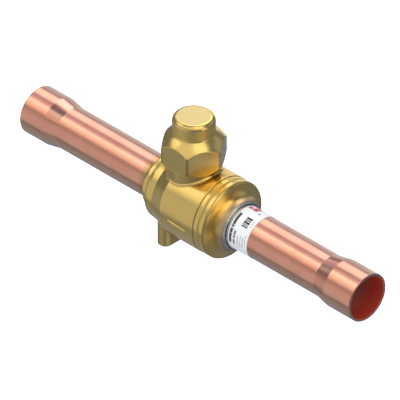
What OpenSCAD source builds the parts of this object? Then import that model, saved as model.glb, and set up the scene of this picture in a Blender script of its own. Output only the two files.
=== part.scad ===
// Straight shut-off ball valve with copper stubs for brazing and a hexagon seal cap.
// Millimetres. X is the flow axis, Z the stem axis, and both meet at the ball's centre.

/* [Copper stubs] */
// outer diameter of the stub tubes and of the pipe that goes into the sockets
tube_d = 16; // [15.9:0.05:16.1]
// wall of the stub tubes
tube_wall = 1.05; // [0.9:0.05:1.15]
// radial gap between the pipe and the expanded socket
pipe_gap = 0.05; // [0.03:0.01:0.1]
// wall of the expanded sockets
socket_wall = 1.05; // [0.95:0.05:1.15]
// straight length of the left socket
socket_left = 10.6; // [9:0.2:13]
// straight length of the right socket
socket_right = 12.3; // [9:0.1:14]
// length over which a stub widens to its socket
flare = 5.9; // [4:0.1:8]
// distance from the stem axis to the left mouth
reach_left = 77; // [70:1:85]
// distance from the stem axis to the right mouth
reach_right = 84; // [76:1:92]

/* [Ball] */
// diameter of the ball
ball_d = 20; // [19.8:0.05:20.1]
// bore through the ball
ball_bore = 13.4; // [12.8:0.1:13.6]
// width of the slot that takes the spindle's tang
drive_slot = 4.1; // [3.8:0.1:4.4]
// depth of that slot below the top of the ball
drive_depth = 2.5; // [2.2:0.1:2.7]
// hole that lets trapped liquid out of the slot into the bore
vent_d = 1.4; // [0.8:0.1:1.8]

/* [Seats and seals] */
// gap between the ball and the shaped face of a seat
seat_gap = 0.03; // [0.02:0.01:0.05]
// bore of the seats
seat_bore = 13.8; // [13.6:0.1:14.2]
// how much smaller than the ball's radius the outer radius of a seat is
seat_step = 0.7; // [0.6:0.05:0.9]
// how far the back of a seat stays inside the ball's radius
seat_inset = 0.6; // [0.4:0.1:0.8]
// length of a seat along the flow
seat_length = 3.8; // [3.6:0.1:4]
// thickness of the rubber rings behind the seats
seat_ring = 1.46; // [1.3:0.02:1.5]
// thickness of the rubber ring on the end piece's spigot
closure_ring = 1.06; // [0.9:0.02:1.1]
// where that ring's groove starts
closure_at = 9.6; // [9.2:0.1:10.4]

/* [Body] */
// diameter of the large cylinder over the ball
barrel_d = 29.5; // [29.2:0.1:30]
// where the large cylinder starts, left of the stem axis
barrel_start = 2.3; // [1.8:0.1:2.6]
// where the body ends and the end piece begins
seam_at = 13.8; // [13.4:0.1:14.2]
// largest diameter of the turned ring beside the waist
ring_d = 25.9; // [25.7:0.1:26.2]
// where the turned ring ends
ring_end = 8; // [7.8:0.1:8.4]
// radius of the turned ring's rounded shoulder
ring_round = 1.15; // [0.9:0.05:1.3]
// rise of the turned ring from its shoulder to its end
ring_rise = 0.45; // [0.3:0.05:0.6]
// bevel on sharp turned edges
edge = 0.15; // [0.1:0.01:0.2]
// where the turned ring meets the collar of the hub
hub_step = 12.5; // [12.3:0.1:12.7]
// where the hub ends
hub_end = 16.6; // [16.2:0.1:17]
// diameter of the hub's collar beside the turned ring
collar_d = 21.8; // [21.6:0.1:22.2]
// radius of the collar's rounded flank
collar_round = 5; // [4.8:0.1:5.4]
// depth to which the left stub sits in the hub
stub_depth = 4.6; // [4:0.1:4.8]
// radial gap between a stub and the brass, filled with braze metal
braze_gap = 0.03; // [0.02:0.01:0.05]

/* [Neck] */
// diameter of the neck
neck_d = 19.6; // [19.2:0.1:20]
// height of the ledge under the cap
neck_top = 16; // [15.6:0.1:16.2]
// diameter over the thread that carries the cap
thread_d = 16; // [15.8:0.05:16.1]
// height of the neck's rim
rim_top = 25.5; // [25.2:0.1:25.8]
// chamfer on the rim
rim_chamfer = 0.5; // [0.3:0.1:0.7]
// depth of the relief groove at the foot of the thread
relief_depth = 0.6; // [0.4:0.1:0.8]
// width of that groove
relief_width = 1; // [0.8:0.1:1.4]
// diameter of the recess in which the stop pin swings
stop_recess_d = 12.8; // [12.6:0.1:13.2]
// height of the recess's floor
stop_floor = 22.5; // [22.3:0.1:22.7]

/* [Foot] */
// distance of the foot behind the stem axis, along the flow axis
foot_back = 6; // [5.6:0.1:6.4]
// width of the foot
foot_width = 5.68; // [5.4:0.02:6]
// distance between the two fixing holes
foot_pitch = 15.86; // [15.4:0.02:16.2]
// height of the foot's face below the flow axis
foot_drop = 17.8; // [17.4:0.1:18.4]
// chamfer round the foot's face
foot_chamfer = 0.4; // [0.2:0.1:0.6]
// diameter of the fixing holes before tapping
foot_hole = 3.3; // [2.5:0.1:3.4]
// depth of the fixing holes
foot_hole_depth = 6; // [5:0.1:6.5]

/* [End piece] */
// step from the large cylinder down to the end piece's rim
rim_step = 0.13; // [0.1:0.01:0.2]
// where the rim ends
rim_end = 18.8; // [18.4:0.1:19.2]
// radius of the rim's outer edge
rim_round = 0.6; // [0.4:0.1:0.8]
// where the groove in the rim lies
groove_at = 16.1; // [15.8:0.1:16.5]
// depth of that groove
groove_depth = 0.22; // [0.15:0.01:0.3]
// half the width of that groove
groove_half = 0.25; // [0.2:0.01:0.35]
// radius of the trumpet-shaped front
bell_round = 4.3; // [4:0.1:4.5]
// diameter of the boss round the right stub
boss_d = 19.2; // [19:0.1:19.6]
// length of the boss's straight lip in front of the trumpet shape
boss_lip = 0.3; // [0.2:0.05:0.5]
// where the right stub ends inside the end piece
stub_stop = 18; // [17.6:0.1:18.4]
// wall of the spigot round the seat's pocket
spigot_wall = 2.22; // [2.1:0.02:2.26]
// radial gap round the spigot
spigot_gap = 0.05; // [0.03:0.01:0.08]
// where the spigot starts
spigot_start = 6.5; // [6.3:0.1:6.7]

/* [Spindle] */
// diameter of the stem
stem_d = 9; // [8.8:0.05:9.1]
// radial running gap between the stem and the neck
stem_gap = 0.05; // [0.03:0.01:0.08]
// diameter of the inner collar
inner_collar_d = 11.9; // [11.7:0.1:12]
// space between the ball's top and the collar's underside
collar_space = 0.55; // [0.4:0.05:0.6]
// thickness of the collar
inner_collar_high = 1.7; // [1.6:0.05:1.8]
// thickness of the washer over the collar
washer_high = 0.7; // [0.6:0.05:0.75]
// gap over and under the washer
washer_gap = 0.02; // [0.01:0.01:0.03]
// gap on each side of the tang in the ball's slot
tang_gap = 0.05; // [0.03:0.01:0.08]
// length of the tang along the slot
tang_length = 10.8; // [10:0.1:11.2]
// thickness of the rubber rings on the stem
stem_ring = 1.16; // [1.1:0.02:1.2]
// height of the lower ring's groove
lower_ring_at = 15.4; // [15.2:0.1:15.6]
// height of the upper ring's groove
upper_ring_at = 18.6; // [18.4:0.1:19]
// size over the flats of the square for the key
square = 6; // [5.6:0.1:6.2]
// height of the top of the square
square_top = 30.2; // [29.6:0.1:30.6]
// width of the slot that shows where the bore lies
mark_width = 1.2; // [0.8:0.1:1.6]
// depth of that slot
mark_depth = 1.2; // [0.8:0.1:1.6]
// diameter of the stop pin
pin_d = 1.96; // [1.8:0.02:2]
// length of the stop pin
pin_length = 12.2; // [11.8:0.1:12.3]
// height of the stop pin
pin_at = 24; // [23.8:0.1:24.1]
// gap between the pin and a stop at the end of its travel
pin_gap = 0.05; // [0.03:0.01:0.08]

/* [Seal cap] */
// size over the flats of the hexagon
hex_flats = 20.8; // [20.5:0.1:21]
// angle of the hexagon when the cap is tight
hex_turn = 3.5; // [0:0.5:30]
// diameter of the round face under the hexagon, where its bevel starts
face_d = 20.4; // [19.8:0.1:20.6]
// gap between that face and the ledge
face_gap = 0.05; // [0.03:0.01:0.08]
// radius of the domed top
dome_round = 13.9; // [13.7:0.1:14.3]
// height of the dome's centre
dome_at = 16.9; // [16.7:0.1:17.1]
// diameter of the button
button_d = 15.24; // [14.8:0.02:15.6]
// height of the button's top
button_top = 34.9; // [34.4:0.1:35.2]
// radius of the button's edge
button_round = 1.8; // [1.2:0.1:2]
// radius of the hollow at the button's foot
button_foot = 1; // [0.6:0.1:1.2]
// radial gap between the thread and the cap
thread_gap = 0.08; // [0.05:0.01:0.1]
// bore over the square of the spindle
cap_bore = 10.4; // [10:0.1:10.8]
// height of that bore's end
cap_bore_top = 31.7; // [31.3:0.1:32]
// thickness of the gasket in the cap
gasket_high = 0.9; // [0.8:0.05:1]
// gap over and under the gasket
gasket_gap = 0.03; // [0.02:0.01:0.05]
// bore of the gasket
gasket_bore = 11.2; // [10.9:0.1:11.6]

/* [Label] */
// space between the right braze fillet and the label
label_space = 0.2; // [0.15:0.05:0.5]
// width of the label along the stub
label_width = 9.2; // [7:0.1:10]
// thickness of the label
label_thick = 0.1; // [0.08:0.01:0.15]
// length of the braze fillet on the right
fillet_right = 0.9; // [0.7:0.1:1.2]
// length of the braze fillet on the left
fillet_left = 0.7; // [0.5:0.1:0.9]

/* [Hidden] */
$fn = 72;
ring_play = 0.02;
rim_d = barrel_d - 2 * rim_step;
boss_end = rim_end + bell_round + boss_lip;
label_start = boss_end + fillet_right + label_space;
face_low = neck_top + face_gap;
cap_high = button_top - face_low;
foot_reach = dome_round + 0.95 * button_foot;
foot_r = button_d / 2 + button_foot;
foot_at = dome_at + sqrt(foot_reach * foot_reach - foot_r * foot_r);
foot_in = (dome_round - 0.15) / foot_reach;
shoulder_r = ring_d / 2 - ring_rise;
tube_r = tube_d / 2;
flow_r = tube_r - tube_wall;
socket_in = tube_r + pipe_gap;
socket_out = socket_in + socket_wall;
brass_bore = tube_r + braze_gap;
ball_r = ball_d / 2;
cavity_r = ball_r + 0.3;
seat_r = ball_r - seat_step;
seat_back = ball_r - seat_inset;
seat_front = seat_back - seat_length;
pocket_r = seat_r + 0.03;
pocket_end = seat_back + seat_ring + 2 * ring_play;
seat_ring_r = pocket_r - seat_ring / 2 - ring_play;
stub_end = hub_end - stub_depth;
spigot_d = 2 * (pocket_r + spigot_wall);
spigot_bore = spigot_d / 2 + spigot_gap;
closure_floor = spigot_d / 2 - closure_ring;
stem_r = stem_d / 2;
stem_bore = stem_r + stem_gap;
collar_bore = inner_collar_d / 2 + 0.1;
inner_collar_low = ball_r + collar_space;
collar_top = inner_collar_low + inner_collar_high;
washer_low = collar_top + washer_gap;
washer_seat = washer_low + washer_high + washer_gap;
tang_low = ball_r - drive_depth + 0.2;
stem_ring_r = stem_r - stem_ring / 2 + ring_play;
stop_face = pin_d / 2 + pin_gap;
rim_floor = rim_top + gasket_gap;
gasket_seat = rim_floor + gasket_high + gasket_gap;
cap_thread = thread_d / 2 + thread_gap;
foot_end = foot_pitch / 2;

// turn about the flow axis a profile drawn as radius and distance along the axis
module turned() {
    rotate([0, 90, 0]) rotate_extrude() children();
}

// outside of the body before the neck and the foot are added
module body_blank() {
    turned() union() {
        // collar of the hub with its rounded flank
        intersection() {
            translate([collar_d / 2 - collar_round, -hub_step]) circle(collar_round);
            translate([0, -hub_end]) square([collar_d, hub_end - hub_step + 0.1]);
        }
        translate([0, -hub_end]) square([collar_d / 2 - collar_round, hub_end - hub_step + 0.1]);
        // rounded shoulder of the turned ring
        translate([shoulder_r - ring_round, ring_round - hub_step]) circle(ring_round);
        polygon([
            [0, -hub_step], [shoulder_r - ring_round, -hub_step],
            [shoulder_r, ring_round - hub_step], [ring_d / 2, -ring_end - 0.1],
            [ring_d / 2, -ring_end], [barrel_d / 2 - 0.02, -barrel_start],
            [barrel_d / 2, -barrel_start + 0.1], [barrel_d / 2, seam_at - edge],
            [barrel_d / 2 - edge, seam_at], [0, seam_at]
        ]);
    }
}

// room for the stub, the seat, the ball and the spigot
module body_room() {
    turned() polygon([
        [0, -hub_end - 1], [brass_bore, -hub_end - 1], [brass_bore, -stub_end],
        [flow_r, -stub_end], [flow_r, -pocket_end], [pocket_r, -pocket_end],
        [pocket_r, -seat_front], [cavity_r, -seat_front], [cavity_r, spigot_start],
        [spigot_bore, spigot_start], [spigot_bore, seam_at + 1], [0, seam_at + 1]
    ]);
}

// neck with the thread zone and the relief groove under it
module neck() {
    rotate_extrude() polygon([
        [0, 0], [neck_d / 2, 0], [neck_d / 2, neck_top], [thread_d / 2 - relief_depth, neck_top],
        [thread_d / 2 - relief_depth, neck_top + relief_width - 0.3],
        [thread_d / 2, neck_top + relief_width], [thread_d / 2, rim_top - rim_chamfer],
        [thread_d / 2 - rim_chamfer, rim_top], [0, rim_top]
    ]);
}

// foot: two round ends and the web between them
module foot() {
    for (side = [-1, 1]) translate([-foot_back, side * foot_end, -foot_drop]) {
        cylinder(h = foot_chamfer, r1 = foot_width / 2 - foot_chamfer, r2 = foot_width / 2);
        translate([0, 0, foot_chamfer]) cylinder(h = foot_drop - foot_chamfer - 4, r = foot_width / 2);
    }
    translate([-foot_back, 0, 0]) rotate([90, 0, 0])
    translate([0, 0, -foot_end]) linear_extrude(height = foot_pitch) polygon([
        [-foot_width / 2 + foot_chamfer, -foot_drop], [foot_width / 2 - foot_chamfer, -foot_drop],
        [foot_width / 2, -foot_drop + foot_chamfer], [foot_width / 2, -4],
        [-foot_width / 2, -4], [-foot_width / 2, -foot_drop + foot_chamfer]
    ]);
}

// recess in which the stop pin swings a quarter turn between two stops
module stop_recess() {
    translate([0, 0, stop_floor]) linear_extrude(height = rim_top) difference() {
        circle(d = stop_recess_d);
        translate([stop_face, stop_face]) square(stop_recess_d);
        translate([-stop_recess_d - stop_face, -stop_recess_d - stop_face]) square(stop_recess_d);
    }
}

// forged body
module valve_body() {
    color([0.72, 0.58, 0.28]) difference() {
        union() {
            body_blank();
            neck();
            foot();
        }
        body_room();
        cylinder(h = washer_seat, r = collar_bore);
        cylinder(h = rim_top + 1, r = stem_bore);
        stop_recess();
        for (side = [-1, 1]) translate([-foot_back, side * foot_end, -foot_drop - 1])
            cylinder(h = foot_hole_depth + 1, d = foot_hole);
    }
}

// end piece: spigot, grooved rim, trumpet-shaped front and boss
module end_retainer() {
    color([0.74, 0.6, 0.3]) turned() difference() {
        union() {
            polygon([
                [pocket_r, spigot_start], [spigot_d / 2, spigot_start], [spigot_d / 2, seam_at + 0.02],
                [rim_d / 2 - edge, seam_at + 0.02], [rim_d / 2, seam_at + 0.02 + edge],
                [rim_d / 2, groove_at - groove_half], [rim_d / 2 - groove_depth, groove_at],
                [rim_d / 2, groove_at + groove_half], [rim_d / 2, rim_end - rim_round],
                [rim_d / 2 - rim_round, rim_end], [boss_d / 2, rim_end + bell_round],
                [boss_d / 2, boss_end - edge], [boss_d / 2 - edge, boss_end], [brass_bore, boss_end],
                [brass_bore, stub_stop], [flow_r, stub_stop], [flow_r, pocket_end],
                [pocket_r, pocket_end]
            ]);
            translate([rim_d / 2 - rim_round, rim_end - rim_round]) circle(rim_round);
        }
        translate([boss_d / 2 + bell_round, rim_end + bell_round]) circle(bell_round);
        translate([closure_floor - ring_play, closure_at])
                square([closure_ring + 1, closure_ring + 4 * ring_play]);
    }
}

// copper stub from its inner end to its mouth, along the positive axis
module stub(inner_end, reach, straight) {
    color([0.82, 0.5, 0.38]) turned() polygon([
        [flow_r, inner_end], [tube_r, inner_end], [tube_r, reach - straight - flare],
        [socket_out, reach - straight], [socket_out, reach - edge], [socket_out - edge, reach],
        [socket_in + edge, reach], [socket_in, reach - edge], [socket_in, reach - straight],
        [flow_r, reach - straight - flare]
    ]);
}

module tube_left() mirror([1, 0, 0]) stub(stub_end, reach_left, socket_left);

module tube_right() stub(stub_stop, reach_right, socket_right);

// fillets of braze metal where the stubs enter the brass
module braze_ring_left() {
    color([0.75, 0.62, 0.42]) turned() polygon([
        [tube_r + 0.01, -hub_end], [tube_r + 0.5, -hub_end], [tube_r + 0.15, -hub_end - fillet_left * 0.5],
        [tube_r + 0.01, -hub_end - fillet_left]
    ]);
}

module braze_ring_right() {
    color([0.3, 0.31, 0.32]) turned() polygon([
        [tube_r + 0.01, boss_end], [tube_r + 1.25, boss_end], [tube_r + 1.1, boss_end + fillet_right * 0.35],
        [tube_r + 0.45, boss_end + fillet_right * 0.8], [tube_r + 0.01, boss_end + fillet_right]
    ]);
}

module ball() {
    color([0.8, 0.81, 0.83]) difference() {
        sphere(r = ball_r);
        rotate([0, 90, 0]) cylinder(h = 2 * ball_d, d = ball_bore, center = true);
        translate([-drive_slot / 2, -ball_d, ball_r - drive_depth]) cube([drive_slot, 2 * ball_d, ball_d]);
        cylinder(h = ball_r, d = vent_d);
    }
}

// seat ring whose face follows the ball
module seat() {
    color([0.92, 0.92, 0.88]) turned() difference() {
        translate([seat_bore / 2, seat_front]) square([seat_r - seat_bore / 2, seat_back - seat_front]);
        circle(r = ball_r + seat_gap);
    }
}

module seat_right() seat();

module seat_left() mirror([1, 0, 0]) seat();

// rubber ring with a round section, about the flow axis
module ring(radius, thick, at) {
    color([0.08, 0.08, 0.08]) turned() translate([radius, at]) circle(d = thick, $fn = 24);
}

module seat_oring_left() ring(seat_ring_r, seat_ring, -seat_back - ring_play - seat_ring / 2);

module seat_oring_right() ring(seat_ring_r, seat_ring, seat_back + ring_play + seat_ring / 2);

module closure_oring()
    ring(spigot_d / 2 - closure_ring / 2, closure_ring, closure_at + 2 * ring_play + closure_ring / 2);

// groove on the stem for a rubber ring
module stem_groove(at) {
    translate([0, 0, at]) rotate_extrude()
        translate([stem_ring_r - stem_ring / 2 - ring_play, -stem_ring / 2 - 5 * ring_play])
            square([stem_ring + 1, stem_ring + 10 * ring_play]);
}

module stem_oring(at) {
    color([0.08, 0.08, 0.08]) translate([0, 0, at]) rotate_extrude()
        translate([stem_ring_r, 0]) circle(d = stem_ring, $fn = 24);
}

module spindle_oring_lower() stem_oring(lower_ring_at);

module spindle_oring_upper() stem_oring(upper_ring_at);

// stem with the tang, the inner collar, the ring grooves, the square and the position slot
module spindle() {
    color([0.7, 0.71, 0.72]) difference() {
        union() {
            intersection() {
                cylinder(h = inner_collar_low + 0.5, d = tang_length);
                translate([-drive_slot / 2 + tang_gap, -ball_d, tang_low])
                    cube([drive_slot - 2 * tang_gap, 2 * ball_d, inner_collar_low + 0.5 - tang_low]);
            }
            translate([0, 0, inner_collar_low]) cylinder(h = inner_collar_high, d = inner_collar_d);
            translate([0, 0, collar_top - 0.1]) cylinder(h = rim_top - collar_top + 0.1, r = stem_r);
            intersection() {
                translate([-square / 2, -square / 2, rim_top - 0.1])
                    cube([square, square, square_top - rim_top + 0.1]);
                rotate_extrude() polygon([
                    [0, rim_top - 1], [stem_r - 0.2, rim_top - 1], [stem_r - 0.2, square_top - 0.8],
                    [stem_r - 1, square_top], [0, square_top]
                ]);
            }
        }
        stem_groove(lower_ring_at);
        stem_groove(upper_ring_at);
        translate([0, 0, pin_at]) rotate([0, 90, 0])
            cylinder(h = stem_d + 1, d = pin_d + 0.02, center = true);
        translate([-square, -mark_width / 2, square_top - mark_depth])
            cube([2 * square, mark_width, mark_depth + 1]);
    }
}

module thrust_washer() {
    color([0.9, 0.9, 0.86]) translate([0, 0, washer_low]) difference() {
        cylinder(h = washer_high, r = collar_bore - 0.03);
        translate([0, 0, -1]) cylinder(h = washer_high + 2, r = stem_bore + 0.05);
    }
}

module stop_pin() {
    color([0.6, 0.61, 0.63]) translate([0, 0, pin_at]) rotate([0, 90, 0])
        cylinder(h = pin_length, d = pin_d, center = true, $fn = 24);
}

// outside of the cap: round face, hexagon cut by the dome, and button
module cap_blank() {
    intersection() {
        rotate([0, 0, hex_turn]) translate([0, 0, face_low])
            cylinder(h = cap_high, r = hex_flats / sqrt(3), $fn = 6);
        translate([0, 0, face_low]) cylinder(h = cap_high, r1 = face_d / 2, r2 = face_d / 2 + cap_high);
        translate([0, 0, dome_at]) sphere(r = dome_round);
    }
    rotate_extrude() union() {
        translate([0, gasket_seat]) square([button_d / 2, button_top - button_round - gasket_seat]);
        translate([0, gasket_seat]) square([button_d / 2 - button_round, button_top - gasket_seat]);
        translate([button_d / 2 - button_round, button_top - button_round]) circle(button_round);
        difference() {
            polygon([
                [button_d / 2 - 1, foot_at], [foot_r, foot_at],
                [foot_r * foot_in, dome_at + (foot_at - dome_at) * foot_in],
                [button_d / 2 - 1, foot_at - 2 * button_foot]
            ]);
            translate([foot_r, foot_at]) circle(button_foot);
        }
    }
}

module seal_cap() {
    color([0.76, 0.62, 0.3]) difference() {
        cap_blank();
        rotate_extrude() polygon([
            [0, neck_top - 1], [cap_thread + 0.5, neck_top - 1], [cap_thread + 0.5, neck_top + 0.3],
            [cap_thread, neck_top + 0.8], [cap_thread, gasket_seat], [cap_bore / 2, gasket_seat],
            [cap_bore / 2, cap_bore_top - 1], [cap_bore / 2 - 1, cap_bore_top], [0, cap_bore_top]
        ]);
    }
}

module cap_gasket() {
    color([0.85, 0.85, 0.8]) translate([0, 0, rim_floor]) difference() {
        cylinder(h = gasket_high, r = thread_d / 2 - 0.05);
        translate([0, 0, -1]) cylinder(h = gasket_high + 2, d = gasket_bore);
    }
}

module tube_label() {
    color([0.95, 0.95, 0.95]) turned()
        translate([tube_r + 0.01, label_start]) square([label_thick, label_width]);
}

valve_body();
end_retainer();
tube_left();
tube_right();
braze_ring_left();
braze_ring_right();
ball();
seat_left();
seat_right();
seat_oring_left();
seat_oring_right();
closure_oring();
spindle();
thrust_washer();
spindle_oring_lower();
spindle_oring_upper();
stop_pin();
seal_cap();
cap_gasket();
tube_label();
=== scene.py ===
import math

import bmesh
import bpy
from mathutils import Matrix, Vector


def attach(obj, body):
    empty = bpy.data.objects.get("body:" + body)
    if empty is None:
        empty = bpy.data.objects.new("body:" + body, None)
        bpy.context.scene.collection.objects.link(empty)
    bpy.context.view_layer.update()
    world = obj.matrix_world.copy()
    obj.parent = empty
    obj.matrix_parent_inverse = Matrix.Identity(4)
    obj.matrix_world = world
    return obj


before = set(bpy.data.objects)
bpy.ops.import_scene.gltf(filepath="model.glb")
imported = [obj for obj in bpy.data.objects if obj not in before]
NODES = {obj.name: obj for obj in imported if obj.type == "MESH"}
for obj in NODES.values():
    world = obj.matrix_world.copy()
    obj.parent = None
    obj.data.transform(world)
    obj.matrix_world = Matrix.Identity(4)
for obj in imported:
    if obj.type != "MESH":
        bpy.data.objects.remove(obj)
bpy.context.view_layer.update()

scene = bpy.context.scene
MM = 0.001


# Camera: a long lens, at the photograph's angle

AZIMUTH, ELEVATION = 45.0, 35.0
PHOTO_PX = 400.0
PX_PER_MM = 2.8875
# where the middle of the ball lies in the photograph
ORIGIN_PX = (193.98, 198.47)
LENS_MM = 1200.0
SENSOR_MM = 36.0
CLIP_NEAR, CLIP_FAR = 0.05, 20.0


def make_camera():
    a, e = math.radians(AZIMUTH), math.radians(ELEVATION)
    back = Vector((math.sin(a) * math.cos(e), -math.cos(a) * math.cos(e), math.sin(e)))
    right = Vector((math.cos(a), math.sin(a), 0.0))
    up = back.cross(right)
    middle = PHOTO_PX / 2.0
    target = (right * (middle - ORIGIN_PX[0]) - up * (middle - ORIGIN_PX[1])) / PX_PER_MM * MM
    distance = PHOTO_PX / PX_PER_MM * MM * LENS_MM / SENSOR_MM
    data = bpy.data.cameras.new("camera")
    data.type = "PERSP"
    data.lens = LENS_MM
    data.sensor_width = SENSOR_MM
    data.clip_start, data.clip_end = CLIP_NEAR, CLIP_FAR
    cam = bpy.data.objects.new("camera", data)
    scene.collection.objects.link(cam)
    cam.rotation_mode = "QUATERNION"
    cam.location = target + back * distance
    cam.rotation_quaternion = (-back).to_track_quat("-Z", "Y")
    scene.camera = cam


make_camera()


# Node helpers

# the colour sockets of ShaderNodeMix, which keeps others for other kinds of value
MIX_FACTOR, MIX_A, MIX_B, MIX_COLOUR = 0, 6, 7, 2

# factors that leave a place's parts across the flow axis X, or across the stem axis Z
OFF_X = (0.0, 1.0, 1.0)
OFF_Z = (1.0, 1.0, 0.0)

WHITE = (1.0, 1.0, 1.0)


def rgb(r, g, b):
    return (r, g, b, 1.0)


class Tree:
    """Short calls for building a node tree."""

    def __init__(self, tree):
        self.tree = tree

    def add(self, kind, **values):
        n = self.tree.nodes.new(kind)
        for key, value in values.items():
            setattr(n, key, value)
        return n

    def link(self, a, b):
        self.tree.links.new(a, b)

    def put(self, socket, value):
        if isinstance(value, bpy.types.NodeSocket):
            self.link(value, socket)
        else:
            socket.default_value = value

    def math(self, op, a, b=0.0, clamp=False):
        n = self.add("ShaderNodeMath", operation=op, use_clamp=clamp)
        self.put(n.inputs[0], a)
        self.put(n.inputs[1], b)
        return n.outputs[0]

    def plus(self, a, b):
        return self.math("ADD", a, b)

    def minus(self, a, b):
        return self.math("SUBTRACT", a, b)

    def times(self, a, b):
        return self.math("MULTIPLY", a, b)

    def larger(self, a, b):
        return self.math("MAXIMUM", a, b)

    def vmath(self, op, a, b=(0, 0, 0)):
        n = self.add("ShaderNodeVectorMath", operation=op)
        self.put(n.inputs[0], a)
        self.put(n.inputs[1], b)
        return n.outputs["Value"] if op in ("DOT_PRODUCT", "LENGTH") else n.outputs[0]

    def dot(self, a, b):
        return self.vmath("DOT_PRODUCT", a, b)

    def radius(self, where, off):
        """The distance from an axis, with OFF_X or OFF_Z."""
        return self.vmath("LENGTH", self.vmath("MULTIPLY", where, off))

    def split(self, vector):
        """The outputs X, Y and Z of a vector."""
        n = self.add("ShaderNodeSeparateXYZ")
        self.link(vector, n.inputs[0])
        return n.outputs

    def ramp(self, value, lo, hi, out_lo=0.0, out_hi=1.0, smooth=True):
        n = self.add("ShaderNodeMapRange", clamp=True)
        if smooth:
            n.interpolation_type = "SMOOTHSTEP"
        self.put(n.inputs["Value"], value)
        n.inputs["From Min"].default_value = lo
        n.inputs["From Max"].default_value = hi
        n.inputs["To Min"].default_value = out_lo
        n.inputs["To Max"].default_value = out_hi
        return n.outputs["Result"]

    def fall(self, value, lo, hi):
        """1 below lo, falling to 0 at hi."""
        return self.ramp(value, lo, hi, 1.0, 0.0)

    def between(self, value, rise, fall):
        """1 between two soft edges, each given by where it begins and ends."""
        return self.times(self.ramp(value, *rise), self.fall(value, *fall))

    def mix(self, fac, a, b, blend="MIX"):
        """b over a, each a socket or a plain colour of three parts."""
        n = self.add("ShaderNodeMix", data_type="RGBA", blend_type=blend, clamp_factor=True)
        self.put(n.inputs[MIX_FACTOR], fac)
        for index, value in ((MIX_A, a), (MIX_B, b)):
            self.put(n.inputs[index], rgb(*value) if isinstance(value, tuple) else value)
        return n.outputs[MIX_COLOUR]

    def noise(self, vector, scale, detail=2.0, rough=0.5):
        n = self.add("ShaderNodeTexNoise")
        self.put(n.inputs["Vector"], vector)
        n.inputs["Scale"].default_value = scale
        n.inputs["Detail"].default_value = detail
        n.inputs["Roughness"].default_value = rough
        return n.outputs["Fac"]

    def bump(self, height, distance, strength=1.0, normal=None):
        n = self.add("ShaderNodeBump")
        n.inputs["Strength"].default_value = strength
        n.inputs["Distance"].default_value = distance
        self.link(height, n.inputs["Height"])
        if normal is not None:
            self.link(normal, n.inputs["Normal"])
        return n.outputs["Normal"]


def new_tree(owner):
    """The emptied node tree of a new material or world."""
    owner.use_nodes = True
    owner.node_tree.nodes.clear()
    return Tree(owner.node_tree)


def material(name):
    m = bpy.data.materials.new(name)
    t = new_tree(m)
    out = t.add("ShaderNodeOutputMaterial")
    bsdf = t.add("ShaderNodeBsdfPrincipled")
    t.link(bsdf.outputs[0], out.inputs["Surface"])
    where = t.add("ShaderNodeTexCoord").outputs["Object"]
    return m, t, bsdf, where


# Studio: a white ground and backdrop for the camera, and a soft studio of large lights and grey flats
# for the metal to mirror. Angles are in degrees.

# level where no light stands
FLOOR_LEVEL = 0.215

# azimuth and elevation of the middle, angles to the left, right, lower and upper edge, softness, level, lean
PANELS = [
    # soft box overhead, without its corner behind on the left
    ((0, 90), (65, 5, 61, 19), 7, 0.84, 0),
    ((0, 90), (5, 58, 61, -17), 7, 0.84, 0),
    ((-85, 35), (15, 20, 9, 15), 6, 0.76, 0),
    # bright panes
    ((-147, 43), (17, 15, 13, 14), 5, 1.20, 0),
    ((-147, 49), (17, 15, 8, 8), 5, 1.42, 0),
    ((118, 44), (14, 14, 16, 24), 6, 2.10, 0),
    ((142, 44), (12, 14, 15, 24), 6, 1.60, 0),
    ((180, 48), (22, 18, 12, 8), 6, 0.70, 0),
    ((-172, 55), (9, 8, 5, 5), 4, 0.80, 0),
    ((160, 30), (14, 12, 18, 14), 8, 0.58, 0),
    # tall strip on the right, and a dimmer pane beside it
    ((9, 8), (10, 18, 27, 40), 7, 1.05, 20),
    ((-24, 26), (12, 14, 16, 20), 12, 0.60, 0),
    # grey walls on the left and in front
    ((-118, -4), (38, 32, 28, 30), 8, 0.61, 0),
    ((-162, -14), (12, 14, 22, 18), 7, 0.37, 0),
    ((-95, -5), (40, 20, 35, 22), 20, 0.44, 0),
    ((-75, 12), (60, 30, 14, 20), 14, 0.40, 0),
    ((-165, -58), (50, 50, 25, 25), 15, 0.34, 0),
    ((-12, -38), (25, 25, 10, 10), 8, 0.43, 0),
    # low reflectors behind on the right
    ((122, -5), (18, 18, 28, 26), 8, 0.90, 0),
    ((62, 20), (24, 24, 16, 20), 9, 0.41, 0),
    # ground
    ((20, -65), (60, 60, 20, 20), 15, 0.25, 0),
]

# azimuth and elevation, inner angle, outer angle, amount added
LOBES = [
    ((-6, 60), 10, 27, 0.58),
]

# from this elevation a panel lies overhead, with its upper edge toward Y
OVERHEAD = 89

# cosines from a panel's middle at which it fades out and is whole, so that it has no mirror image behind
HORIZON = (0.02, 0.10)

# dim parts of the studio are bluish: the levels where the tint is full and gone, and the tint
DIM_LEVELS = (0.2, 0.95)
DIM_TINT = (0.87, 1.0, 1.42)


def aim(azimuth, elevation):
    a, e = math.radians(azimuth), math.radians(elevation)
    return Vector((math.cos(a) * math.cos(e), math.sin(a) * math.cos(e), math.sin(e)))


def lobe(t, direction, toward, inner, outer):
    """1 inside the cone of inner degrees about toward, falling to 0 at outer degrees."""
    d = t.dot(direction, tuple(aim(*toward)))
    return t.ramp(d, math.cos(math.radians(outer)), math.cos(math.radians(inner)))


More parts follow.
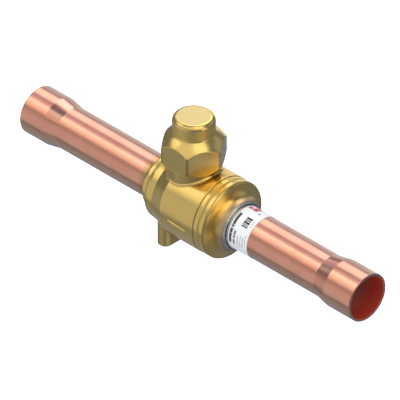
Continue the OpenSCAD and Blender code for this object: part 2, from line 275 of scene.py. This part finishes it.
def panel(t, direction, toward, sides, soft, lean):
    """1 inside a rectangular light seen toward an azimuth and elevation. sides gives the angles from its
    middle to its left, right, lower and upper edges, soft the angle over which an edge fades, lean how far
    its top tips to the right."""
    middle = aim(*toward)
    upright = Vector((0, 1, 0)) if toward[1] >= OVERHEAD else Vector((0, 0, 1))
    right = middle.cross(upright).normalized()
    up = right.cross(middle)
    c, s = math.cos(math.radians(lean)), math.sin(math.radians(lean))
    right, up = right * c - up * s, up * c + right * s
    depth = t.dot(direction, tuple(middle))
    safe = t.larger(depth, HORIZON[0])
    out = t.ramp(depth, *HORIZON)
    to_left, to_right, to_low, to_high = sides
    w = math.radians(soft)
    for axis, start, end in ((right, -to_left, to_right), (up, -to_low, to_high)):
        flat = t.math("DIVIDE", t.dot(direction, tuple(axis)), safe)
        angle = t.math("ARCTANGENT", flat)
        for edge, sign in ((start, 1.0), (end, -1.0)):
            e = math.radians(edge) * sign
            out = t.times(out, t.ramp(t.times(angle, sign), e - w, e + w))
    return out


def make_world():
    """Lights combine by their larger level, lobes are added, and the camera sees plain white."""
    world = bpy.data.worlds.new("studio")
    scene.world = world
    t = new_tree(world)
    out = t.add("ShaderNodeOutputWorld")
    bg = t.add("ShaderNodeBackground")
    t.link(bg.outputs[0], out.inputs["Surface"])
    direction = t.add("ShaderNodeTexCoord").outputs["Generated"]
    level = FLOOR_LEVEL
    for toward, sides, soft, amount, lean in PANELS:
        level = t.larger(level, t.times(panel(t, direction, toward, sides, soft, lean), amount))
    for toward, inner, outer, amount in LOBES:
        level = t.plus(level, t.times(lobe(t, direction, toward, inner, outer), amount))
    tint = t.mix(t.ramp(level, *DIM_LEVELS), DIM_TINT, WHITE)
    light = t.vmath("SCALE", tint)
    t.put(light.node.inputs["Scale"], level)
    camera_ray = t.add("ShaderNodeLightPath").outputs["Is Camera Ray"]
    t.link(t.mix(camera_ray, light, WHITE), bg.inputs["Color"])
    bg.inputs["Strength"].default_value = 1.0


make_world()


GROUND_Z = -0.115
GROUND_HALF = 1.6
GROUND_GREY = 0.8
# what the camera sees on top of the light that falls on the ground
GROUND_GLOW = 0.75


def ground():
    bm = bmesh.new()
    corners = ((-1, -1), (1, -1), (1, 1), (-1, 1))
    bm.faces.new([bm.verts.new((x * GROUND_HALF, y * GROUND_HALF, GROUND_Z)) for x, y in corners])
    me = bpy.data.meshes.new("ground")
    bm.to_mesh(me)
    bm.free()
    o = bpy.data.objects.new("ground", me)
    scene.collection.objects.link(o)
    m = bpy.data.materials.new("ground_white")
    t = new_tree(m)
    out = t.add("ShaderNodeOutputMaterial")
    diffuse = t.add("ShaderNodeBsdfDiffuse")
    diffuse.inputs["Color"].default_value = rgb(GROUND_GREY, GROUND_GREY, GROUND_GREY)
    glow = t.add("ShaderNodeEmission")
    glow.inputs["Color"].default_value = rgb(*WHITE)
    path = t.add("ShaderNodeLightPath")
    t.put(glow.inputs["Strength"], t.times(path.outputs["Is Camera Ray"], GROUND_GLOW))
    both = t.add("ShaderNodeAddShader")
    t.link(diffuse.outputs[0], both.inputs[0])
    t.link(glow.outputs[0], both.inputs[1])
    t.link(both.outputs[0], out.inputs["Surface"])
    me.materials.append(m)
    o.visible_glossy = False


ground()


# Materials. Places and radii in them are in metres, in the part's own frame.

# A noise lies between these levels nearly everywhere: the first pair for its colours, the second for gloss
COLOUR_SPAN = (0.35, 0.7)
GLOSS_SPAN = (0.3, 0.7)

# colour of the painted brown shade in corners and under overhangs, and the distance within which ambient
# occlusion finds them
CREASE_SHADE_BROWN = (0.26, 0.12, 0.03)
CREASE_SHADE_REACH = 0.005
GRAIN_SCALE = 900.0
STREAK_SCALE = 2600.0
MARK_DEPTH = 0.00001
# how strongly the fine grain and the paper's or rubber's grain show
GRAIN_STRENGTH = 0.3


def metal(name, base, dark, rough, streak_axis=None, streak=0.0, grain=1.0, mottle=0.15,
          edge_round=0.00025, crease_shade=0.0, grooves=()):
    """Satin metal: slow colour drift, fine grain, and turning marks of strength streak along one axis.
    crease_shade is the strength of a painted brown shade in corners and under overhangs, grooves are (place
    along X, half width, depth) in mm."""
    m, t, bsdf, where = material(name)
    drift = t.plus(t.times(t.noise(where, 60.0, 3.0, 0.55), 0.7), t.times(t.noise(where, 420.0, 2.0, 0.6), 0.3))
    colour = t.mix(t.ramp(drift, *COLOUR_SPAN, 0.0, mottle * 2.0), base, dark)
    if crease_shade:
        # painted shade: corners and places under overhangs turn brown where ambient occlusion finds them
        corner = t.add("ShaderNodeAmbientOcclusion", samples=6)
        corner.inputs["Distance"].default_value = CREASE_SHADE_REACH
        colour = t.mix(t.ramp(corner.outputs["AO"], 0.3, 0.85, crease_shade, 0.0), colour, CREASE_SHADE_BROWN)
    t.link(colour, bsdf.inputs["Base Color"])
    bsdf.inputs["Metallic"].default_value = 1.0
    fine = t.noise(where, GRAIN_SCALE, 2.0, 0.6)
    round_edges = t.add("ShaderNodeBevel", samples=8)
    round_edges.inputs["Radius"].default_value = edge_round
    normal = t.bump(fine, MARK_DEPTH * grain, GRAIN_STRENGTH, round_edges.outputs[0])
    for place, half, depth in grooves:
        off = t.math("ABSOLUTE", t.minus(t.split(where)["X"], place * MM))
        normal = t.bump(t.ramp(off, 0.0, half * MM), depth * MM, normal=normal)
    if streak_axis is not None:
        along = t.add("ShaderNodeCombineXYZ")
        t.link(t.split(where)[streak_axis], along.inputs[0])
        lines = t.noise(along.outputs[0], STREAK_SCALE, 3.0, 0.7)
        normal = t.bump(lines, MARK_DEPTH, streak, normal)
    gloss = t.ramp(drift, *GLOSS_SPAN, rough - 0.03, rough + 0.03, smooth=False)
    t.link(t.plus(gloss, t.times(t.minus(fine, 0.5), 0.05)), bsdf.inputs["Roughness"])
    t.link(normal, bsdf.inputs["Normal"])
    return m


def plain(name, base, dark, rough):
    """Plastic or rubber: slight drift of colour and gloss over a fine grain."""
    m, t, bsdf, where = material(name)
    slow, fine = t.noise(where, 300.0, 3.0, 0.6), t.noise(where, 1800.0, 2.0, 0.6)
    t.link(t.mix(t.ramp(slow, *COLOUR_SPAN), base, dark), bsdf.inputs["Base Color"])
    t.link(t.ramp(slow, *GLOSS_SPAN, rough - 0.05, rough + 0.05), bsdf.inputs["Roughness"])
    t.link(t.bump(fine, MARK_DEPTH * 2.0, GRAIN_STRENGTH), bsdf.inputs["Normal"])
    return m


def reopen(m):
    """The tree of a made material, its shader, and the place on the piece."""
    t = Tree(m.node_tree)
    bsdf = next(n for n in t.tree.nodes if n.type == "BSDF_PRINCIPLED")
    where = next(n for n in t.tree.nodes if n.type == "TEX_COORD").outputs["Object"]
    return t, bsdf, where


def source(socket):
    """The output that feeds a socket so far."""
    return socket.links[0].from_socket


# Along X, the casting's second ring and its outer ring
SECOND_RING = (-0.0106, -0.008)
OUTER_RING = (-0.0157, -0.0125)


def forged(m):
    """The casting: the rings of its hub shade as straight bands."""
    t, bsdf, where = reopen(m)
    x = t.split(where)["X"]
    normal = bsdf.inputs["Normal"]
    taper = t.ramp(x, *SECOND_RING, 1.0, 0.0, smooth=False)
    second = t.bump(taper, 0.35 * MM, normal=source(normal))
    fall = t.ramp(x, *OUTER_RING, 3.2, 0.0, smooth=False)
    t.link(t.bump(t.times(fall, fall), 0.1 * MM, normal=second), normal)
    return m


# colour of the painted golden sheen on the trumpet
GOLDEN_SHEEN = (0.96, 0.50, 0.075)
# darker colour beside the braze
NEAR_BRAZE_DULL = (0.56, 0.42, 0.27)
# side of the end piece that carries the painted golden sheen: its front upper side
SHEEN_SIDE = (0.0, -0.75, 0.66)


def end_piece_sheen(m):
    """The end piece: a painted golden sheen on the trumpet's front upper side, the trumpet shading as a
    straight cone, a darker, more matt colour beside the braze, and a blasted band in the shallow groove."""
    t, bsdf, where = reopen(m)
    x = t.split(where)["X"]
    radius = t.radius(where, OFF_X)
    side = t.math("DIVIDE", t.dot(where, SHEEN_SIDE), radius)
    drift = t.times(t.minus(t.noise(where, 130.0, 3.0, 0.5), 0.5), 0.5)
    # painted reflection: a golden sheen on the trumpet's front upper side
    golden_sheen = t.times(t.ramp(x, 0.0187, 0.0190), t.ramp(t.plus(side, drift), 0.15, 0.8))
    # darker and more matt beside the braze
    by_braze = t.times(t.fall(radius, 0.0096, 0.0104), t.ramp(x, 0.0196, 0.0208))
    blasted = t.between(x, (0.0154, 0.0158), (0.0164, 0.0169))
    colour, rough, normal = (bsdf.inputs[name] for name in ("Base Color", "Roughness", "Normal"))
    warm = t.mix(t.times(golden_sheen, 0.85), source(colour), GOLDEN_SHEEN)
    t.link(t.mix(t.times(by_braze, 0.8), warm, NEAR_BRAZE_DULL), colour)
    matt = t.plus(t.times(by_braze, 0.16), t.times(blasted, 0.3))
    t.link(t.plus(source(rough), matt), rough)
    cone = t.times(t.ramp(radius, 0.0117, 0.0144, 0.0, 2.7, smooth=False), t.ramp(x, 0.0182, 0.0186))
    sunk = t.times(t.times(cone, cone), -1.0)
    t.link(t.bump(sunk, 0.0875 * MM, normal=source(normal)), normal)
    return m


# Directions off the flow axis: toward the photograph's camera, and round the stub from there, downward
FACING = (0.0, -0.710, 0.704)
ACROSS = (0.0, -0.704, -0.710)


def turn_round(t, where):
    """The angle in radians round the flow axis from the side that faces the photograph's camera."""
    return t.math("ARCTAN2", t.dot(where, ACROSS), t.dot(where, FACING))


# Angle in degrees round a stub as turn_round gives it, and the tone of the drawn copper there: painted
# highlight where it is paler, painted shade where it is darker
COPPER_LIGHT_AND_SHADE = (
    (-120, (0.90, 0.42, 0.295)),
    (-90, (0.56, 0.37, 0.29)),
    (-62, (0.56, 0.345, 0.265)),
    (-50, (0.72, 0.39, 0.285)),
    (-42, (0.92, 0.42, 0.31)),
    (-18, (0.92, 0.42, 0.295)),
    (-11, (0.95, 0.55, 0.36)),
    (-3, (0.90, 0.42, 0.285)),
    (8, (0.80, 0.35, 0.20)),
    (12, (0.80, 0.35, 0.20)),
    (20, (0.93, 0.42, 0.26)),
    (40, (0.90, 0.45, 0.27)),
    (52, (0.90, 0.50, 0.27)),
    (62, (0.84, 0.54, 0.30)),
    (75, (0.74, 0.50, 0.29)),
    (92, (0.76, 0.48, 0.29)),
    (125, (0.90, 0.42, 0.295)),
)
COPPER_WORN = (0.96, 0.91, 0.89)
HUB_BROWN = (0.52, 0.33, 0.12)
SOCKET_RED = (0.62, 0.075, 0.038)
SOCKET_DEEP = (0.64, 0.23, 0.165)


def drawn(m):
    """Drawn copper: painted highlight and painted shade change its tone round the stub, it is browned where it
    enters the hub, and inside it is dull and red."""
    t, bsdf, where = reopen(m)
    turn = t.math("ADD", t.math("DIVIDE", turn_round(t, where), 2.0 * math.pi), 0.5, clamp=True)
    # painted highlight and painted shade by the angle round the stub
    painted_tones = t.add("ShaderNodeValToRGB")
    t.link(turn, painted_tones.inputs["Fac"])
    stops = painted_tones.color_ramp.elements
    while len(stops) < len(COPPER_LIGHT_AND_SHADE):
        stops.new(0.5)
    for stop, (angle, tone) in zip(stops, COPPER_LIGHT_AND_SHADE):
        stop.position = angle / 360.0 + 0.5
        stop.color = rgb(*tone)
    worn = t.mix(t.ramp(t.noise(where, 150.0, 3.0, 0.55), *COLOUR_SPAN), WHITE, COPPER_WORN)
    tone = t.mix(1.0, painted_tones.outputs["Color"], worn, "MULTIPLY")
    x = t.split(where)["X"]
    by_hub = t.between(x, (-0.0205, -0.0172), (0.0, 0.001))
    tone = t.mix(t.times(by_hub, 0.8), tone, HUB_BROWN)
    surface = t.add("ShaderNodeNewGeometry").outputs["True Normal"]
    outward = t.dot(surface, t.vmath("MULTIPLY", where, OFF_X))
    inside = t.fall(outward, -0.002, -0.001)
    deep = t.fall(t.math("ABSOLUTE", x), 0.0735, 0.0795)
    t.link(t.mix(inside, tone, t.mix(deep, SOCKET_RED, SOCKET_DEEP)), bsdf.inputs["Base Color"])
    t.link(t.minus(1.0, t.times(inside, 0.85)), bsdf.inputs["Metallic"])
    rough = bsdf.inputs["Roughness"]
    t.link(t.plus(source(rough), t.times(inside, 0.2)), rough)
    return m


BUTTON_PALE = ((0.75, 0.59, 0.265), (0.72, 0.565, 0.25))
# colour of the painted highlight on the button's side and the cap's lower lip
BUTTON_SIDE_HIGHLIGHT = (1.0, 0.69, 0.17)
# colour of the painted shade along the hexagon's corners
CORNER_PAINTED_SHADE = (0.34, 0.20, 0.05)


def cap_top(m):
    """The button: its flat top is paler and more matt than the rest, its side a little more matt. The side and
    the cap's lower lip carry a painted highlight of brighter colour, and the hexagon's corners a painted brown
    shade."""
    t, bsdf, where = reopen(m)
    height = t.split(where)["Z"]
    top = t.ramp(height, 0.03488, 0.0349)
    side = t.between(height, (0.0286, 0.0292), (0.0326, 0.0336))
    lip = t.between(height, (0.0158, 0.0162), (0.0168, 0.0173))
    # painted shade: a brown line at the hexagon's corners
    corner = t.ramp(t.radius(where, OFF_Z), 0.0116, 0.01185)
    colour, rough = bsdf.inputs["Base Color"], bsdf.inputs["Roughness"]
    pale = t.mix(t.noise(where, 500.0, 3.0, 0.6), *BUTTON_PALE)
    # painted highlight on the button's side and the cap's lower lip
    painted_highlight = t.plus(t.times(side, 0.8), t.times(lip, 0.8))
    flank = t.mix(t.times(corner, 0.6), source(colour), CORNER_PAINTED_SHADE)
    t.link(t.mix(top, t.mix(painted_highlight, flank, BUTTON_SIDE_HIGHLIGHT), pale), colour)
    matt = t.plus(t.times(top, 0.2), t.times(side, 0.14))
    t.link(t.plus(source(rough), matt), rough)
    return m


# The right fillet's inner and outer radius, its pale metal and its dark line of flux
BRAZE_RADII = (0.0081, 0.0093)
BRAZE_METAL = ((0.78, 0.78, 0.62), (0.50, 0.51, 0.40))
BRAZE_FLUX = ((0.16, 0.16, 0.13), (0.08, 0.08, 0.07))


def braze():
    """A frozen fillet of solder round a stub: rippled, with a pale shoulder and a dark flux line."""
    m, t, bsdf, where = material("braze_grey")
    ripple = t.noise(where, 700.0, 3.0, 0.6)
    swell = t.noise(where, 160.0, 2.0, 0.5)
    place = t.ramp(t.radius(where, OFF_X), *BRAZE_RADII, smooth=False)
    place = t.plus(place, t.times(t.minus(swell, 0.5), 0.5))
    line = t.between(place, (0.18, 0.36), (0.5, 0.68))
    pale = t.mix(t.ramp(ripple, *COLOUR_SPAN), *BRAZE_METAL)
    dark = t.mix(t.ramp(swell, 0.35, 0.6), *BRAZE_FLUX)
    t.link(t.mix(t.times(line, 0.9), pale, dark), bsdf.inputs["Base Color"])
    bsdf.inputs["Metallic"].default_value = 1.0
    t.link(t.ramp(ripple, *GLOSS_SPAN, 0.26, 0.42), bsdf.inputs["Roughness"])
    t.link(t.bump(ripple, 0.12 * MM, 0.6, t.bump(swell, 0.4 * MM, 0.5)), bsdf.inputs["Normal"])
    return m


# The label's print, in mm along X and round the stub.
# A row of dashes: along from and to, round from and to, the noise scale that sets the dashes' length, the
# noise level below which a gap lies, and the strength of the ink.
LABEL_RADIUS = 8.11
DASHES = (
    (25.15, 26.3, -4.1, 7.7, 1.7, 0.36, 0.95),
    (27.05, 27.9, 2.5, 7.9, 2.2, 0.38, 0.82),
    (28.9, 29.4, 3.6, 7.9, 2.6, 0.40, 0.52),
    (30.2, 30.6, 3.4, 7.9, 2.6, 0.40, 0.50),
    (31.3, 31.7, 3.4, 7.6, 2.6, 0.38, 0.55),
    (32.4, 32.8, 2.1, 7.0, 2.4, 0.40, 0.45),
    (32.3, 32.7, -3.6, -0.6, 2.4, 0.36, 0.45),
    (30.5, 31.3, -8.1, -6.8, 2.0, 0.30, 0.62),
)
# The field of plain bars along X, and each bar round the stub
BARS_ALONG = (28.8, 31.5)
BARS = ((-3.95, -3.15), (-2.9, -2.45), (-2.2, -1.35), (-1.1, -0.75), (-0.5, 0.05))
EDGE_LINE = (24.72, 24.84, -5.2, -0.9)
RED_FIELDS = ((25.0, 26.6, -9.6, -7.9), (26.9, 29.1, -12.6, -7.8))
# Half width of a print's soft edge: of most, and of the bars and the line
PRINT_SOFT, BAR_SOFT = 0.06, 0.05
GAP_SOFT = 0.03
PAPER = ((0.93, 0.93, 0.92), (0.90, 0.90, 0.89))
PAPER_EDGE = (0.86, 0.78, 0.66)
PRINT_RED = (0.62, 0.05, 0.06)
PRINT_BLACK = (0.03, 0.03, 0.035)


def label():
    """White film with generic print: rows of dashes, a field of bars and a red field."""
    m, t, bsdf, where = material("label_film")
    x = t.split(t.vmath("MULTIPLY", where, (1 / MM, 1 / MM, 1 / MM)))["X"]
    s = t.times(turn_round(t, where), LABEL_RADIUS)
    wander = t.noise(where, 900.0, 3.0, 0.6)

    def field(x0, x1, s0, s1, soft=PRINT_SOFT):
        along = t.between(x, (x0 - soft, x0 + soft), (x1 - soft, x1 + soft))
        return t.times(along, t.between(s, (s0 - soft, s0 + soft), (s1 - soft, s1 + soft)))

    def row(x0, x1, s0, s1, pitch, gap, amount):
        place = t.add("ShaderNodeCombineXYZ")
        t.link(s, place.inputs[0])
        place.inputs[1].default_value = x0
        dashes = t.ramp(t.noise(place.outputs[0], pitch, 1.0, 0.5), gap - GAP_SOFT, gap + GAP_SOFT)
        return t.times(t.times(field(x0, x1, s0, s1), dashes), amount)

    ink = t.times(field(*EDGE_LINE, BAR_SOFT), 0.7)
    for dashes in DASHES:
        ink = t.larger(ink, row(*dashes))
    for bar in BARS:
        ink = t.larger(ink, field(*BARS_ALONG, *bar, BAR_SOFT))
    red = t.larger(*(field(*place) for place in RED_FIELDS))
    red = t.times(red, t.ramp(wander, 0.3, 0.45, 0.7, 1.0))
    paper = t.mix(t.ramp(wander, *COLOUR_SPAN), *PAPER)
    edge = t.larger(t.fall(x, 24.62, 24.8), t.ramp(x, 33.45, 33.62))
    paper = t.mix(t.times(edge, 0.6), paper, PAPER_EDGE)
    t.link(t.mix(ink, t.mix(red, paper, PRINT_RED), PRINT_BLACK), bsdf.inputs["Base Color"])
    t.link(t.ramp(wander, *GLOSS_SPAN, 0.42, 0.5), bsdf.inputs["Roughness"])
    t.link(t.bump(t.noise(where, 2500.0, 2.0, 0.6), MARK_DEPTH, GRAIN_STRENGTH), bsdf.inputs["Normal"])
    return m


BRASS = ((0.88, 0.61, 0.18), (0.84, 0.55, 0.14))
COPPER = drawn(metal("copper_drawn", (0.92, 0.42, 0.295), (0.88, 0.37, 0.25), 0.20, grain=0.5, mottle=0.2))
BRASS_FORGED = forged(metal("brass_forged", *BRASS, 0.23, mottle=0.2, edge_round=0.0007, crease_shade=0.75))
BRASS_TURNED = end_piece_sheen(
    metal("brass_turned", *BRASS, 0.22, "X", 0.12, crease_shade=0.3, grooves=((14.0, 0.3, 0.06), (16.2, 0.7, 0.10)))
)
BRASS_CAP = cap_top(metal("brass_cap", *BRASS, 0.23, "Z", 0.08, edge_round=0.00045, crease_shade=0.6))
BRAZE_RIGHT = braze()
BRAZE_LEFT = metal("braze_pale", (0.70, 0.52, 0.30), (0.60, 0.42, 0.24), 0.35)
CHROME = metal("ball_chrome", (0.62, 0.63, 0.65), (0.56, 0.57, 0.60), 0.08, mottle=0.1)
STEEL = metal("stem_steel", (0.52, 0.52, 0.53), (0.45, 0.45, 0.46), 0.25, "Z", 0.1)
PIN = metal("pin_steel", (0.42, 0.42, 0.44), (0.36, 0.36, 0.38), 0.28)
SEAT = plain("seat_plastic", (0.80, 0.80, 0.76), (0.74, 0.74, 0.70), 0.55)
GASKET = plain("gasket_plastic", (0.70, 0.70, 0.66), (0.64, 0.64, 0.60), 0.6)
RUBBER = plain("black_rubber", (0.02, 0.02, 0.02), (0.03, 0.03, 0.03), 0.6)
LABEL = label()

DRESS = {
    "valve_body": BRASS_FORGED,
    "end_retainer": BRASS_TURNED,
    "tube_left": COPPER,
    "tube_right": COPPER,
    "braze_ring_left": BRAZE_LEFT,
    "braze_ring_right": BRAZE_RIGHT,
    "ball": CHROME,
    "seat_left": SEAT,
    "seat_right": SEAT,
    "seat_oring_left": RUBBER,
    "seat_oring_right": RUBBER,
    "closure_oring": RUBBER,
    "spindle": STEEL,
    "thrust_washer": SEAT,
    "spindle_oring_lower": RUBBER,
    "spindle_oring_upper": RUBBER,
    "stop_pin": PIN,
    "seal_cap": BRASS_CAP,
    "cap_gasket": GASKET,
    "tube_label": LABEL,
}
for name, mat in DRESS.items():
    me = NODES[name].data
    me.materials.clear()
    me.materials.append(mat)


# Forms of the casting that the CAD doesn't have

BARREL_RADIUS = 0.01475
NECK_RADIUS = 0.0098
# X and radius of the casting's outline under the neck: ring, cone and large cylinder
OUTLINE = ((-0.01135, 0.0125), (-0.008, 0.01295), (-0.0023, BARREL_RADIUS), (0.02, BARREL_RADIUS))


def casting(name, bm):
    """A smooth brass piece from a finished bmesh."""
    bmesh.ops.recalc_face_normals(bm, faces=bm.faces)
    for face in bm.faces:
        face.smooth = True
    me = bpy.data.meshes.new(name)
    bm.to_mesh(me)
    bm.free()
    me.materials.append(BRASS_FORGED)
    o = bpy.data.objects.new(name, me)
    scene.collection.objects.link(o)
    return o


def cast_bar():
    """The small raised bar on the side of the casting: a sphere drawn out along X and bent round the barrel."""
    first, last, rounding = 0.0020, 0.0096, 0.0009
    stand, half, middle_radius = 0.00048, 0.00060, 0.01462
    drop, lean = 0.00115, 0.05
    bm = bmesh.new()
    bmesh.ops.create_uvsphere(bm, u_segments=20, v_segments=12, radius=1.0)
    for v in bm.verts:
        end = 0.0 if abs(v.co.z) < 0.01 else math.copysign(1.0, v.co.z)
        x = (first + last) / 2 + end * (last - first) / 2 + v.co.z * rounding
        radius = middle_radius + v.co.x * stand
        down = (drop + lean * x + v.co.y * half) / BARREL_RADIUS
        v.co = (x, -radius * math.cos(down), -radius * math.sin(down))
    o = casting("casting_bar", bm)
    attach(o, "valve_body")


cast_bar()


def neck_hollow():
    """The cast hollow between the neck and the large cylinder, the cone and the ring left of it: closed loops
    round the neck, each an inner point and a curve from the neck's side down to the casting's skin."""
    reach, sink, in_neck, in_skin = 0.0009, 0.0004, 0.00002, 0.00005
    turns, steps = 144, 6
    up = Vector((0.0, 0.0, 1.0))
    bm = bmesh.new()
    loops = []
    for i in range(turns):
        a = 2.0 * math.pi * i / turns
        out = Vector((math.cos(a), math.sin(a), 0.0))
        foot = out * NECK_RADIUS
        (x0, r0), (x1, r1) = next(pair for pair in zip(OUTLINE, OUTLINE[1:]) if foot.x <= pair[1][0])
        slope = (r1 - r0) / (x1 - x0)
        radius = r0 + slope * (foot.x - x0)
        foot.z = math.sqrt(radius ** 2 - foot.y ** 2)
        skin = Vector((-slope, foot.y / radius, foot.z / radius)).normalized()
        along = (out - skin * out.dot(skin)).normalized()
        top = foot + up * reach - out * in_neck
        low = foot + along * reach - skin * in_skin
        loop = [bm.verts.new(foot - (out + skin) * sink)]
        for k in range(steps + 1):
            f = k / steps
            loop.append(bm.verts.new(top * (1 - f) ** 2 + foot * (2 * f * (1 - f)) + low * f ** 2))
        loops.append(loop)
    count = steps + 2
    for a, b in zip(loops, loops[1:] + loops[:1]):
        for j in range(count):
            bm.faces.new((a[j], a[(j + 1) % count], b[(j + 1) % count], b[j]))
        for j in (0, 1, count - 1):
            bm.edges.get((a[j], b[j])).smooth = False
    o = casting("neck_hollow", bm)
    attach(o, "valve_body")


neck_hollow()


# One soft lamp for shape on matt surfaces and a faint shadow on the ground

KEY_DIRECTION = (-0.60, -0.36, 0.71)
KEY_DISTANCE = 0.9
KEY_SIZE = 0.5
KEY_WATTS = 3.9


def key_lamp():
    data = bpy.data.lights.new("key", "AREA")
    data.shape = "DISK"
    data.size = KEY_SIZE
    data.energy = KEY_WATTS
    o = bpy.data.objects.new("key", data)
    scene.collection.objects.link(o)
    d = Vector(KEY_DIRECTION).normalized()
    o.location = d * KEY_DISTANCE
    o.rotation_mode = "QUATERNION"
    o.rotation_quaternion = d.to_track_quat("Z", "Y")
    o.visible_glossy = False


key_lamp()

scene.view_settings.view_transform = "Standard"
